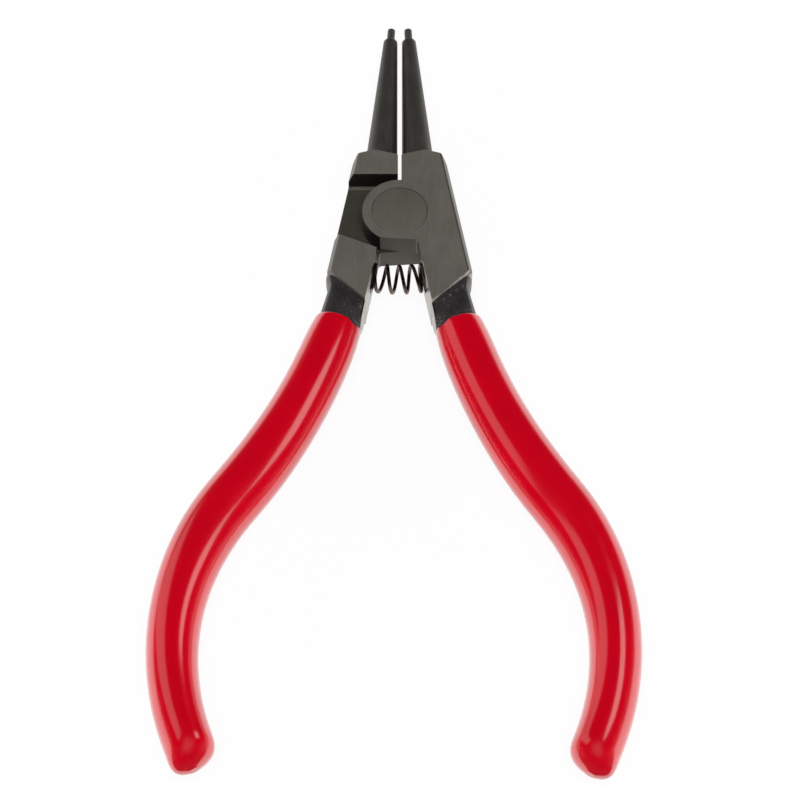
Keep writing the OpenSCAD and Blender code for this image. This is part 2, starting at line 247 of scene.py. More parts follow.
# Each line gives the colours, roughness, scratch spacing and run in mm, turn in degrees, metallic and blend.
ground_right = scratched_steel("ground_tool_steel_right", "#7b776f", "#8f8a82", 0.42, 0.15, 6, 10)
ground_left = scratched_steel("ground_tool_steel_left", "#7b776f", "#8f8a82", 0.42, 0.15, 6, -10)
rivet_steel = scratched_steel("ground_rivet_steel", "#716d65", "#837e75", 0.42, 0.15, 5, 12)
flank_steel = scratched_steel("tumbled_flank_steel", "#605c57", "#78746d", 0.46, 0.4, 4, 12)
milled_steel = scratched_steel("milled_wall_steel", "#a39b94", "#b9b1aa", 0.3, 0.3, 5, 0, 1.0)
# Darker than the ground faces: partly oil on the unground lap faces, partly painted shade for the recess.
oiled_and_shaded_lap_steel = scratched_steel("oiled_lap_floor_and_painted_shade", "#4c4941", "#5b574e", 0.5, 0.2, 3, 40)
# Painted shade: near black, for the joint's walls that lie in shadow and for dark lines along the tangs.
painted_shade_steel = scratched_steel("painted_shade_lap_wall", "#1d1b19", "#2b2825", 0.5, 0.2, 3)
jaw_steel = scratched_steel("blackened_jaw_steel", "#474440", "#585550", 0.45, 0.25, 9)
# Pale streaks on the bevel of the right slanted edge: partly wear, partly painted highlight.
ridge_wear_and_highlight_steel = scratched_steel("ridge_wear_and_painted_highlight", "#524e4a", "#c8c4be", 0.4, 0.35, 4, 47, 0.3, 0.09)
pin_steel = scratched_steel("turned_pin_steel", "#4d4a46", "#5e5a56", 0.5, 0.3, 0.1, 0, 0.5)

# %% [markdown]
# ## Blackened forging
# The tangs keep the skin of the forging: black oxide over a coarse shot-blasted grain, with small bright
# specks where the oxide has worn off. A fine noise gives the grain and picks out the specks. Round the
# inner corners by the grips and along the skin below one slanted edge, more of the specks show, so these
# places are paler: partly wear, partly a painted highlight where the corners and that edge catch the light.

# %% Blackened forging
# Each place is the middle and reach of a paler patch, partly wear and partly painted highlight; the last ones
# follow the right slanted edge.
WORN_AND_HIGHLIGHT_PLACES = [
    (Vector((-6.2, -18.3, 7.0)), 1.0),
    (Vector((-6.7, -21.0, 6.6)), 1.3),
    (Vector((6.2, -20.8, 6.6)), 1.5),
] + [(Vector((7.2 + k, -17.1 + k * math.tan(GROUND_END_TILT), 7.2)), 0.6) for k in range(4)]


def blackened_forging():
    material, shader = new_material("blackened_forging")
    tree = material.node_tree
    shader.inputs["Metallic"].default_value = 0.5
    where = add(tree, "ShaderNodeTexCoord")
    grain = add(tree, "ShaderNodeTexNoise", {"Scale": 1 / (0.35 * MM), "Detail": 5.0, "Roughness": 0.7},
                {"Vector": where.outputs["Object"]})
    clouds = add(tree, "ShaderNodeTexNoise", {"Scale": 1 / (2.2 * MM), "Detail": 3.0},
                 {"Vector": where.outputs["Object"]})
    skin = add(tree, "ShaderNodeValToRGB", None, {"Fac": clouds.outputs["Fac"]})
    ramp_colours(skin, [(0.3, "#2f2c2d"), (0.7, "#403c3e")])
    worn = add(tree, "ShaderNodeMapRange", {"From Min": 0.4, "From Max": 0.7, "To Min": 0.0, "To Max": 0.25},
               {"Value": clouds.outputs["Fac"]})
    wear_and_highlight = worn.outputs["Result"]
    for middle, reach in WORN_AND_HIGHLIGHT_PLACES:
        away = add(tree, "ShaderNodeVectorMath", {"operation": "DISTANCE", 1: middle * MM},
                   {0: where.outputs["Object"]})
        patch = add(tree, "ShaderNodeMapRange",
                    {"From Min": 0.2 * reach * MM, "From Max": reach * MM, "To Min": 1.0, "To Max": 0.0},
                    {"Value": away.outputs["Value"]})
        wear_and_highlight = add(tree, "ShaderNodeMath", {"operation": "MAXIMUM"},
                     {0: wear_and_highlight, 1: patch.outputs["Result"]}).outputs["Value"]
    raised = add(tree, "ShaderNodeMath", {"operation": "MULTIPLY_ADD", 1: 0.16},
                 {0: wear_and_highlight, 2: grain.outputs["Fac"]})
    specks = add(tree, "ShaderNodeMapRange", {"From Min": 0.58, "From Max": 0.76, "To Max": 0.6},
                 {"Value": raised.outputs["Value"]})
    colour = add(tree, "ShaderNodeMix", {"data_type": "RGBA", 7: linear("#908b87")},
                 {0: specks.outputs["Result"], 6: skin.outputs["Color"]})
    rough = add(tree, "ShaderNodeMapRange", {"To Min": 0.4, "To Max": 0.62},
                {"Value": grain.outputs["Fac"]})
    bump = add(tree, "ShaderNodeBump", {"Strength": 0.6, "Distance": 0.03 * MM},
               {"Height": grain.outputs["Fac"]})
    tree.links.new(colour.outputs[2], shader.inputs["Base Color"])
    tree.links.new(rough.outputs["Result"], shader.inputs["Roughness"])
    tree.links.new(bump.outputs["Normal"], shader.inputs["Normal"])
    return material


forged_black = blackened_forging()

# %% [markdown]
# ## Spring wire
# Hard-drawn wire, darkened by oil tempering: brown-black, with the drawing marks round the wire barely
# seen.

# %% Spring wire
def tempered_wire():
    material, shader = new_material("oil_tempered_wire")
    tree = material.node_tree
    shader.inputs["Metallic"].default_value = 1.0
    where = add(tree, "ShaderNodeTexCoord")
    stain = add(tree, "ShaderNodeTexNoise", {"Scale": 1 / (0.9 * MM), "Detail": 4.0},
                {"Vector": where.outputs["Object"]})
    colour = add(tree, "ShaderNodeValToRGB", None, {"Fac": stain.outputs["Fac"]})
    ramp_colours(colour, [(0.3, "#5a4a44"), (0.7, "#8a7a70")])
    rough = add(tree, "ShaderNodeMapRange", {"To Min": 0.3, "To Max": 0.5},
                {"Value": stain.outputs["Fac"]})
    tree.links.new(colour.outputs["Color"], shader.inputs["Base Color"])
    tree.links.new(rough.outputs["Result"], shader.inputs["Roughness"])
    return material


wire_steel = tempered_wire()

# %% [markdown]
# ## Dipped vinyl
# The handles are dipped in liquid PVC, which sets to a deep red skin with a wet gloss. It is nearly mirror
# smooth, with slow waves where it ran, so long lamps draw long soft-edged streaks on it.

# %% Dipped vinyl
def dipped_vinyl():
    material, shader = new_material("dipped_red_vinyl")
    tree = material.node_tree
    shader.inputs["IOR"].default_value = 1.9
    shader.inputs["Specular Tint"].default_value = linear("#ffbcbc")
    shader.inputs["Coat Weight"].default_value = 1.0
    shader.inputs["Coat IOR"].default_value = 1.9
    shader.inputs["Coat Roughness"].default_value = 0.13
    shader.inputs["Sheen Weight"].default_value = 0.5
    shader.inputs["Sheen Roughness"].default_value = 0.25
    shader.inputs["Sheen Tint"].default_value = linear("#ffdcd6")
    where = add(tree, "ShaderNodeTexCoord")
    depth = add(tree, "ShaderNodeTexNoise", {"Scale": 1 / (9 * MM), "Detail": 2.0},
                {"Vector": where.outputs["Object"]})
    colour = add(tree, "ShaderNodeValToRGB", None, {"Fac": depth.outputs["Fac"]})
    ramp_colours(colour, [(0.3, "#c20019"), (0.7, "#cb001b")])
    haze = add(tree, "ShaderNodeTexNoise", {"Scale": 1 / (2.5 * MM), "Detail": 3.0},
               {"Vector": where.outputs["Object"]})
    rough = add(tree, "ShaderNodeMapRange", {"To Min": 0.14, "To Max": 0.22},
                {"Value": haze.outputs["Fac"]})
    waves = add(tree, "ShaderNodeTexNoise", {"Scale": 1 / (6 * MM), "Detail": 1.0},
                {"Vector": where.outputs["Object"]})
    bump = add(tree, "ShaderNodeBump", {"Strength": 0.06, "Distance": 0.05 * MM},
               {"Height": waves.outputs["Fac"]})
    tree.links.new(colour.outputs["Color"], shader.inputs["Base Color"])
    tree.links.new(rough.outputs["Result"], shader.inputs["Roughness"])
    tree.links.new(bump.outputs["Normal"], shader.inputs["Normal"])
    return material


vinyl = dipped_vinyl()
print("materials:", [m.name for m in bpy.data.materials])

# %% [markdown]
# ## The two levers
# Each lever is one forging. Its head and jaw are machined, so their solid is already right: a copy of that
# mesh is merged, its flat faces are made whole again, and the head's sharp edges, all but the slanted one,
# are broken by small bevels. The tang below the slanted edge keeps the soft shape of the forging. It is
# cut off the copy and drawn again as a loft of rings that goes from a rounded square to the oval of the
# handle, and the two are united.

# %% Head of a lever
HEAD_CUT = 0.02
CUT_TOLERANCE = 0.0001 * MM
EDGE_BREAK = 0.14
SIDE_BREAK = 0.3
SIDE_END_Y = -11.8
STEP_FILLET = 0.7
WALL_EDGE = 0.25
# How near an edge lies to the place that it is picked by
FACE_NEAR = 0.02
SLANT_NEAR = 0.01
STEP_NEAR = 0.05
STEP_FLOOR_NEAR = 0.2
SIDE_NEAR = 0.3
SIDE_CLEAR = 0.5


def slanted_end(side):
    """A point of the ground face's slanted end and the way from it to the tang; side is 1 on the right."""
    towards_tang = Vector((side * math.sin(GROUND_END_TILT), -math.cos(GROUND_END_TILT), 0))
    return Vector((side * GROUND_END[0], GROUND_END[1], MID_Z)) - HEAD_CUT * towards_tang, towards_tang


def bevel_edges(piece, width, segments, test, hollow=False):
    """Bevels the sharp outer edges, or the hollow ones, whose middle passes the test in millimetres."""
    def sharp(e):
        if len(e.link_faces) != 2:
            return False
        fold = e.calc_face_angle_signed(0) * (-1 if hollow else 1)
        return fold > math.radians(15) and test((e.verts[0].co + e.verts[1].co) / 2 / MM)

    count = pick(piece, "EDGE", sharp)
    bpy.ops.mesh.bevel(offset=width * MM, offset_type="OFFSET", segments=segments, profile=0.5,
                       clamp_overlap=True, loop_slide=True)
    merge()
    print(piece.name, "bevelled", count, "edges by", width, "mm")


def lever_head(node, side):
    """The machined head and jaw: a copy of the node, cut at the slanted end, with its edges broken."""
    head = bpy.data.objects.new(node + "_dressed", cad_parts[node].data.copy())
    bpy.context.scene.collection.objects.link(head)
    point, towards_tang = slanted_end(side)
    edit(head)
    merge()
    bpy.ops.mesh.bisect(plane_co=point * MM, plane_no=towards_tang, use_fill=True, clear_outer=True,
                        threshold=CUT_TOLERANCE)
    merge()
    bpy.ops.mesh.dissolve_limited(angle_limit=math.radians(0.8))

    def on_face(p):
        return abs(abs(p.z - MID_Z) - HEAD_T / 2) < FACE_NEAR

    def on_slant(p):
        return abs((p - point).dot(towards_tang)) < SLANT_NEAR

    def on_side(p):
        return on_face(p) and abs(side * p.x - side_edge(p.y)) < SIDE_NEAR and p.y > SIDE_END_Y

    def at_step(p):
        return abs(p.y - LAP_TOP) < STEP_NEAR and abs(p.z - MID_Z) < STEP_FLOOR_NEAR

    def on_rest(p):
        return not on_slant(p) and p.y < BLOCK_TOP and abs(side * p.x - side_edge(p.y)) > SIDE_CLEAR

    bevel_edges(head, STEP_FILLET, 4, at_step, hollow=True)
    bevel_edges(head, SIDE_BREAK, 2, on_side)
    bevel_edges(head, EDGE_BREAK, 3, on_rest)
    return finish_edit(head, 32)


# %% Tang of a lever
# Each row is one ring of the right tang: its inner and outer end, half its thickness and how square it is.
TANG_RINGS = (
    ((8.0, -24.9), (13.8, -23.0), 3.1, 2.4),
    ((6.35, -21.4), (13.05, -19.6), 3.35, 2.6),
    ((5.4, -20.0), (12.65, -18.1), 3.4, 2.9),
    ((4.9, -18.5), (12.1, -16.3), 3.4, 3.6),
    ((4.4, -17.0), (11.6, -14.4), 3.35, 3.8),
    ((4.2, -16.0), (11.6, -13.2), 3.3, 3.8),
    ((4.2, -15.4), (12.0, -12.1), 3.3, 3.6),
    ((4.5, -14.8), (11.95, -11.2), 3.2, 3.6),
    ((6.5, -13.6), (10.6, -10.8), 2.8, 3.0),
)
RING_POINTS = 40


def square_ring(inner, outer, half_thickness, squareness):
    """Points of a rounded square that stands upright between its inner and its outer end."""
    middle = (Vector(inner) + Vector(outer)) / 2
    across = (Vector(outer) - Vector(inner)) / 2
    points = []
    for i in range(RING_POINTS):
        turn = 2 * math.pi * i / RING_POINTS
        c, s = math.cos(turn), math.sin(turn)
        flat = middle + across * math.copysign(abs(c) ** (2 / squareness), c)
        rise = half_thickness * math.copysign(abs(s) ** (2 / squareness), s)
        points.append(Vector((flat.x, flat.y, MID_Z + rise)) * MM)
    return points


def loft(name, rings):
    """Draws the first ring, extrudes it from ring to ring and closes both ends."""
    bpy.ops.object.select_all(action="DESELECT")
    bpy.ops.mesh.primitive_circle_add(vertices=len(rings[0]), radius=MM, fill_type="NOTHING")
    body = place(bpy.context.object)
    body.name = name
    edit(body, "EDGE")
    bpy.ops.mesh.select_all(action="SELECT")
    bm = bmesh.from_edit_mesh(body.data)
    bm.verts.layers.int.new("spot")
    for v in bm.verts:
        v[bm.verts.layers.int["spot"]] = v.index
    for k, ring in enumerate(rings):
        if k:
            bpy.ops.mesh.extrude_region_move()
        bm = bmesh.from_edit_mesh(body.data)
        for v in bm.verts:
            if v.select:
                v.co = ring[v[bm.verts.layers.int["spot"]]]
        bmesh.update_edit_mesh(body.data)
    for end in (-1, 1):
        bpy.ops.mesh.edge_face_add()
        bpy.ops.mesh.poke()
        if end < 0:
            pick(body, "EDGE", lambda e: len(e.link_faces) == 1)
    finish_edit(body, 60)
    body.data.attributes.remove(body.data.attributes["spot"])
    return body


def lever_tang(name, side):
    """The forged tang, set to its handle, cut flat at the wall and mirrored on the left."""
    tang = loft(name + "_tang", [square_ring(*row) for row in TANG_RINGS])
    tang.rotation_euler.z = HANDLE_SET[name]
    place(tang)
    smooth = tang.modifiers.new("forged_skin", "SUBSURF")
    smooth.levels = 1
    smooth.render_levels = 1
    bpy.ops.object.modifier_apply(modifier=smooth.name)
    to_middle = Vector((-math.cos(WALL_LEAN), -math.sin(WALL_LEAN), 0))
    wall = Vector((WALL_X + WALL_OUT[name], -SPRING_Y, MID_Z)) - HEAD_CUT * to_middle
    edit(tang)
    bpy.ops.mesh.select_all(action="SELECT")
    bpy.ops.mesh.bisect(plane_co=(wall - WALL_EDGE * to_middle) * MM, plane_no=to_middle,
                        threshold=CUT_TOLERANCE)
    bpy.ops.mesh.select_all(action="SELECT")
    bpy.ops.mesh.bisect(plane_co=wall * MM, plane_no=to_middle, use_fill=True, clear_outer=True,
                        threshold=CUT_TOLERANCE)
    finish_edit(tang, 45)
    if side < 0:
        tang.scale.x = -1
        place(tang)
        edit(tang)
        finish_edit(tang, 60)
    return tang


# %% One forging from head and tang
FINISHES = (forged_black, jaw_steel, milled_steel, oiled_and_shaded_lap_steel, painted_shade_steel, flank_steel, ridge_wear_and_highlight_steel)


def finish_of(p, n, name, side):
    """The finish of a face from its place and the way that it looks."""
    x, y, z = side * p.x / MM, p.y / MM, p.z / MM
    nx, level = side * n.x, abs(n.z)
    to_wall = (x - inner_wall(y, name)) * math.cos(WALL_LEAN)
    if to_wall < 0.1 and nx < -0.9 and y < -EAR_FOOT:
        return milled_steel
    if on_tang(p):
        return tang_finish(y, to_wall, nx, level)
    if y > BLOCK_CROWN_Y:
        return jaw_steel
    return head_finish(x, y, z, n, side, name)


DARK_EDGE_END_Y = -19.4
TANG_TOP_Y = -11.7


def tang_finish(y, to_wall, nx, level):
    """The finish of a face of the tang: painted shade by the wall and at its top, a tumbled outer side that
    is also a painted highlight, black elsewhere.
    """
    # Painted shadow: a near-black line along the wall's edge, and a near-black patch at the outer top of the
    # tang.
    if (to_wall < WALL_EDGE and y > DARK_EDGE_END_Y) or (y > TANG_TOP_Y and nx > 0.5):
        return painted_shade_steel
    # The tang's rounded outer side takes the paler flank finish, which also paints the highlight along it.
    return flank_steel if nx > 0.6 and level < 0.75 else forged_black


# A face lies level where its normal's Z is above the first value, and stands as a wall below the second.
LEVEL_FROM = 0.9
WALL_BELOW = 0.3
RIDGE_REACH = 0.85


def head_finish(x, y, z, n, side, name):
    """The finish of a face of the head; None stands for its ground faces."""
    level = abs(n.z)
    off_middle = abs(z - MID_Z)
    point, towards_tang = slanted_end(side)
    to_slant = abs((Vector((side * x, y, MID_Z)) - point).dot(towards_tang))
    # The bevel along the slanted edge: on the right a pale finish that is partly wear and partly a painted
    # highlight, on the left the flank finish.
    if n.dot(towards_tang) > 0.25 and to_slant < RIDGE_REACH:
        return ridge_wear_and_highlight_steel if name == "right" else flank_steel
    # The lap faces take the darker floor finish: partly oil, partly painted shade of the recess.
    if level > LEVEL_FROM and off_middle < 1:
        return oiled_and_shaded_lap_steel
    # The ear's round wall is painted near black, as shade.
    if level < WALL_BELOW and abs(math.hypot(x, y) - EAR_R) < 0.1 and y > -EAR_FOOT:
        return painted_shade_steel
    at_step = LAP_TOP - STEP_FILLET - 0.1 < y < LAP_TOP + 0.2 and off_middle < HEAD_T / 2 - 0.2
    # The step wall is painted near black, as shade; its fillet takes the paler flank finish, which also
    # paints the fillet's highlight.
    if n.y < -0.3 and at_step:
        return painted_shade_steel if level < WALL_BELOW else flank_steel
    # Walls under the ear that face the handles take the darker lap floor finish as well.
    if n.y < -0.9 and level < WALL_BELOW and abs(x) < EAR_R and y < -EAR_FOOT:
        return oiled_and_shaded_lap_steel
    # On the right, the bevel along the side edge is painted darker: a painted shade line.
    if name == "right" and 0.4 < level < 0.95 and abs(x - side_edge(y)) < SIDE_CLEAR:
        return oiled_and_shaded_lap_steel
    return None if level > 0.45 else flank_steel


def lever_piece(node, name, side, ground):
    """One lever: head and tang united, shaded evenly, with a finish on each face."""
    lever = lever_head(node, side)
    tang = lever_tang(name, side)
    only(lever)
    union = lever.modifiers.new("one_forging", "BOOLEAN")
    union.operation = "UNION"
    union.solver = "MANIFOLD"
    union.object = tang
    bpy.ops.object.modifier_apply(modifier=union.name)
    bpy.data.objects.remove(tang)
    edit(lever)
    merge()
    finish_edit(lever, 32)
    even = lever.modifiers.new("even_shading", "WEIGHTED_NORMAL")
    even.keep_sharp = True
    bpy.ops.object.modifier_apply(modifier=even.name)
    lever.data.materials.clear()
    finishes = [ground, *FINISHES]
    for material in finishes:
        lever.data.materials.append(material)
    for face in lever.data.polygons:
        face.material_index = finishes.index(finish_of(face.center, face.normal, name, side) or ground)
    return lever


for name, side, ground in (("left", -1, ground_left), ("right", 1, ground_right)):
    node = name + "_lever"
    lever = lever_piece(node, name, side, ground)
    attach(lever, name + "_half")
    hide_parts(node)
    print(lever.name, len(lever.data.polygons), "faces,", open_edges(lever), "open edges")

# %% [markdown]
# ## The rivet
# A plain pin, set at both ends into the countersunk ears and ground flush. It is turned as on a lathe: a
# disc is inset and drawn down for the shank, then spread again for the lower head, and both rims are
# broken.

# %% Rivet
RIVET_HEAD_R = 4.6
RIVET_SHANK_R = 3.0
RIVET_HEAD_H = 1.2
RIVET_EDGE = 0.12
RIVET_SIDES = 96


def rivet_piece():
    bpy.ops.object.select_all(action="DESELECT")
    bpy.ops.mesh.primitive_cylinder_add(vertices=RIVET_SIDES, radius=RIVET_HEAD_R * MM,
                                        depth=RIVET_HEAD_H * MM,
                                        location=(0, 0, (HEAD_T - RIVET_HEAD_H / 2) * MM))
    rivet = place(bpy.context.object)
    rivet.name = "rivet"
    edit(rivet)
    pick(rivet, "FACE", lambda f: f.normal.z < -0.9)
    bpy.ops.mesh.inset(thickness=(RIVET_HEAD_R - RIVET_SHANK_R) * MM)
    shank_h = HEAD_T - 2 * RIVET_HEAD_H
    bpy.ops.mesh.extrude_region_move(TRANSFORM_OT_translate={"value": (0, 0, -shank_h * MM)})
    spread = RIVET_HEAD_R / RIVET_SHANK_R
    bpy.ops.mesh.extrude_region_move(TRANSFORM_OT_translate={"value": (0, 0, 0)})
    bpy.ops.transform.resize(value=(spread, spread, 1), center_override=(0, 0, RIVET_HEAD_H * MM))
    bpy.ops.mesh.extrude_region_move(TRANSFORM_OT_translate={"value": (0, 0, -RIVET_HEAD_H * MM)})
    rims = pick(rivet, "EDGE", lambda e: len(e.link_faces) == 2 and e.calc_face_angle(0) > 1
                and abs(abs(e.verts[0].co.z - MID_Z * MM) - HEAD_T / 2 * MM) < 0.01 * MM)
    bpy.ops.mesh.bevel(offset=RIVET_EDGE * MM, segments=3)
    finish_edit(rivet)
    rivet.data.materials.append(rivet_steel)
    print("rivet: rims of", rims, "edges broken")
    return rivet


rivet = rivet_piece()
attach(rivet, "left_half")
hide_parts("pivot_rivet")

# %% [markdown]
# ## The tip pins
# Each jaw ends in a hard pin that enters the eye of a ring. The pin is turned with a thinner shank, which
# sits in the jaw, and its end is rounded a little so that it finds the eye.

# %% Tip pins
JAW_LEN = 26.4
JAW_TAPER = 1.55
JAW_NOSE = 0.5
JAW_LEAN = math.atan(JAW_TAPER / JAW_LEN)
JAW_FOOT = Vector((3.13, BLOCK_TOP, MID_Z))
JAW_END = JAW_LEN + JAW_NOSE
PIN_R = 0.65
PIN_LEN = 2.2
PIN_SHANK_R = 0.35
PIN_SHANK_LEN = 4.0
PIN_ROUND = 0.15
PIN_SIDES = 32


def pin_piece(name, side):
    """side is 1 for the right jaw and -1 for the left."""
    foot = Vector((side * JAW_FOOT.x, JAW_FOOT.y, JAW_FOOT.z))
    along = Vector((-side * math.sin(JAW_LEAN), math.cos(JAW_LEAN), 0))
    middle = foot + along * (JAW_END + PIN_LEN / 2)
    bpy.ops.object.select_all(action="DESELECT")
    bpy.ops.mesh.primitive_cylinder_add(vertices=PIN_SIDES, radius=PIN_R * MM, depth=PIN_LEN * MM,
                                        location=middle * MM,
                                        rotation=along.to_track_quat("Z", "Y").to_euler())
    pin = place(bpy.context.object)
    pin.name = name
    edit(pin)
    pick(pin, "FACE", lambda f: f.normal.dot(along) > 0.9)
    bpy.ops.mesh.bevel(offset=PIN_ROUND * MM, segments=3)
    pick(pin, "FACE", lambda f: f.normal.dot(along) < -0.9)
    bpy.ops.mesh.inset(thickness=(PIN_R - PIN_SHANK_R) * MM)
    bpy.ops.mesh.extrude_region_move(TRANSFORM_OT_translate={"value": -along * PIN_SHANK_LEN * MM})
    finish_edit(pin)
    pin.data.materials.append(pin_steel)
    return pin


for side, name, body in ((-1, "left", "left_half"), (1, "right", "right_half")):
    pin = pin_piece(name + "_pin", side)
    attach(pin, body)
    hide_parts(name + "_tip_pin")
    print(pin.name, "reaches Y", round(max(v.co.y for v in pin.data.vertices) / MM, 2), "mm")

# %% [markdown]
# ## The return spring
# A small compression spring sits in a round seat in each inner wall. The walls lean apart, so the spring
# fans out: its turns are spread round the point where the walls would meet. A curve is wound turn by turn,
# given the wire's thickness and made a mesh.

# %% Return spring
WIRE_D = 0.6
COIL_R = 2.2
TURNS = 5
CLOSED_TURNS = 0.75
STEPS_PER_TURN = 32
SEAT_DEPTH = 0.55
SEAT_GAP = 0.06
SPRING_X = (WALL_OUT["right"] - WALL_OUT["left"]) / 2
FAN_HALF = WALL_X - SPRING_X
FAN_R = FAN_HALF / math.sin(WALL_LEAN)
FAN_Y = FAN_HALF / math.tan(WALL_LEAN) - SPRING_Y
END_ANGLE = WALL_LEAN + (SEAT_DEPTH - WIRE_D / 2 - SEAT_GAP) / FAN_R
CLOSED_PITCH = 1.2 * WIRE_D / FAN_R
OPEN_PITCH = (2 * END_ANGLE - 2 * CLOSED_TURNS * CLOSED_PITCH) / (TURNS - 2 * CLOSED_TURNS)


def fan_angle(t):
    """Angle of the wire round the fan after t turns."""
    if t < CLOSED_TURNS:
        return -END_ANGLE + t * CLOSED_PITCH
    if t > TURNS - CLOSED_TURNS:
        return END_ANGLE - (TURNS - t) * CLOSED_PITCH
    return -END_ANGLE + CLOSED_TURNS * CLOSED_PITCH + (t - CLOSED_TURNS) * OPEN_PITCH


def spring_piece():
    curve = bpy.data.curves.new("return_spring_wire", "CURVE")
    curve.dimensions = "3D"
    curve.bevel_depth = WIRE_D / 2 * MM
    curve.bevel_resolution = 4
    curve.use_fill_caps = True
    steps = TURNS * STEPS_PER_TURN
    wire = curve.splines.new("POLY")
    wire.points.add(steps)
    for k in range(steps + 1):
        t = k / STEPS_PER_TURN
        turn = math.radians(-360 * t)
        fan = fan_angle(t)
        r = FAN_R + COIL_R * math.cos(turn)
        flat = (SPRING_X + r * math.sin(fan), FAN_Y - r * math.cos(fan))
        point = Vector((*flat, MID_Z + COIL_R * math.sin(turn)))
        wire.points[k].co = (*(point * MM), 1)
    spring = bpy.data.objects.new("spring", curve)
    bpy.context.scene.collection.objects.link(spring)
    only(spring)
    bpy.ops.object.convert(target="MESH")
    edit(spring)
    merge()
    finish_edit(spring, 50)
    spring.data.materials.clear()
    spring.data.materials.append(wire_steel)
    return spring


spring = spring_piece()
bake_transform(spring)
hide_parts("return_spring")
print("spring:", len(spring.data.polygons), "faces")

# %% [markdown]
# ## The dipped grips
# The handle runs straight out of the head, swings outward in a wide bend and comes back in a tighter one.
# A ring is drawn round the rim and extruded station by station along that line, turned and resized each
# time, which is how a tube is modelled by hand. The end is drawn in to a round nose, and a subdivision
# smooths the skin.

# %% The handle's line
NECK_LEN = 4.6
OUT_R = 100.0
OUT_TURN = math.radians(18)
IN_R = 44.0
IN_TURN = math.radians(64)
OUT_LEN = OUT_R * OUT_TURN
HANDLE_LEN = NECK_LEN + OUT_LEN + IN_R * IN_TURN


def heading(a):
    return Vector((math.sin(a), -math.cos(a)))


def sideways(a):
    return Vector((math.cos(a), math.sin(a)))


def lean_at(s):
    if s < NECK_LEN:
        return RIM_LEAN
    if s < NECK_LEN + OUT_LEN:
        return RIM_LEAN + (s - NECK_LEN) / OUT_R
    return RIM_LEAN + OUT_TURN - (s - NECK_LEN - OUT_LEN) / IN_R


def centre_at(s):
    """Centre of the handle at the distance s along it from the rim, in millimetres."""
    neck_end = RIM + NECK_LEN * heading(RIM_LEAN)
    out_centre = neck_end + OUT_R * sideways(RIM_LEAN)
    out_lean = RIM_LEAN + OUT_TURN
    in_centre = out_centre - (OUT_R + IN_R) * sideways(out_lean)
    if s < NECK_LEN:
        return RIM + s * heading(RIM_LEAN)
    if s < NECK_LEN + OUT_LEN:
        return out_centre - OUT_R * sideways(lean_at(s))
    return in_centre + IN_R * sideways(lean_at(s))


# %% The coating's width along the handle
GRIP_T = 8.0
GRIP_START_W = 9.0
GRIP_END_W = 7.8
SWELL_W = 1.4
SWELL_AT = 36.0
SWELL_LEN = 19.0
RIM_THIN = 0.5
RIM_THIN_LEN = 3.0
NOSE_LEN = 4.4
NOSE_LEAN = 0.9
NOSE_POWER = 3.8
NOSE_DROP = 2.0
NOSE_TIP = 0.04
BODY_RINGS = 30
NOSE_RINGS = 7


def nose_part(s):
    return max(0.0, s - (HANDLE_LEN - NOSE_LEN)) / NOSE_LEN


def half_sizes(s):
    """Half the grip's width and half its thickness at the distance s."""
    thin = RIM_THIN * math.exp(-s / RIM_THIN_LEN)
    swell = SWELL_W / 2 * math.exp(-(((s - SWELL_AT) / SWELL_LEN) ** 2))
    width = (GRIP_START_W + (GRIP_END_W - GRIP_START_W) * s / HANDLE_LEN) / 2 + swell - thin
    narrow, low = (math.sqrt(max(NOSE_TIP, 1 - nose_part(s) ** power)) for power in (NOSE_POWER, NOSE_DROP))
    return width * narrow, (GRIP_T / 2 - thin / 2) * low


def ring_centre(s):
    at = centre_at(s) + NOSE_LEAN * nose_part(s) ** 2 * sideways(lean_at(s))
    return Vector((at.x, at.y, MID_Z))


def stations():
    """Distances of the rings: even along the handle, closer together round the nose."""
    body_len = HANDLE_LEN - NOSE_LEN
    even = [body_len * i / BODY_RINGS for i in range(BODY_RINGS + 1)]
    turns = [math.radians(90 * i / NOSE_RINGS) for i in range(1, NOSE_RINGS + 1)]
    return even + [HANDLE_LEN - NOSE_LEN * (1 - math.sin(turn)) for turn in turns]


# %% Grip pieces
GRIP_SIDES = 28
# Each pair is how much the rim's ring shrinks and how far it goes in, in mm, as the rim rolls inward
RIM_ROLL = ((0.965, -0.16), (0.94, -0.06), (0.85, 0.4), (0.8, 0.6))


def grip_mesh():
    """The right grip before its handle is set, drawn ring by ring from the rim to the nose."""
    bpy.ops.object.select_all(action="DESELECT")
    start = ring_centre(0)
    width, height = half_sizes(0)
    bpy.ops.mesh.primitive_circle_add(vertices=GRIP_SIDES, radius=MM, fill_type="NOTHING",
                                      location=start * MM, rotation=(math.radians(90), 0, RIM_LEAN))
    grip = place(bpy.context.object)
    edit(grip, "EDGE")
    bpy.ops.mesh.select_all(action="SELECT")
    bpy.ops.transform.resize(value=(width, width, height), center_override=start * MM)
    last = 0.0
    for s in stations()[1:]:
        step = (ring_centre(s) - ring_centre(last)) * MM
        centre = ring_centre(s) * MM
        bpy.ops.mesh.extrude_region_move(TRANSFORM_OT_translate={"value": step})
        bpy.ops.transform.rotate(value=-(lean_at(s) - lean_at(last)), orient_axis="Z", center_override=centre)
        wide = half_sizes(s)[0] / half_sizes(last)[0]
        tall = half_sizes(s)[1] / half_sizes(last)[1]
        bpy.ops.transform.resize(value=(wide, wide, tall), center_override=centre)
        last = s
    bpy.ops.mesh.edge_face_add()
    bpy.ops.mesh.poke()
    close_rim(grip, start * MM)
    finish_edit(grip, 60)
    return grip


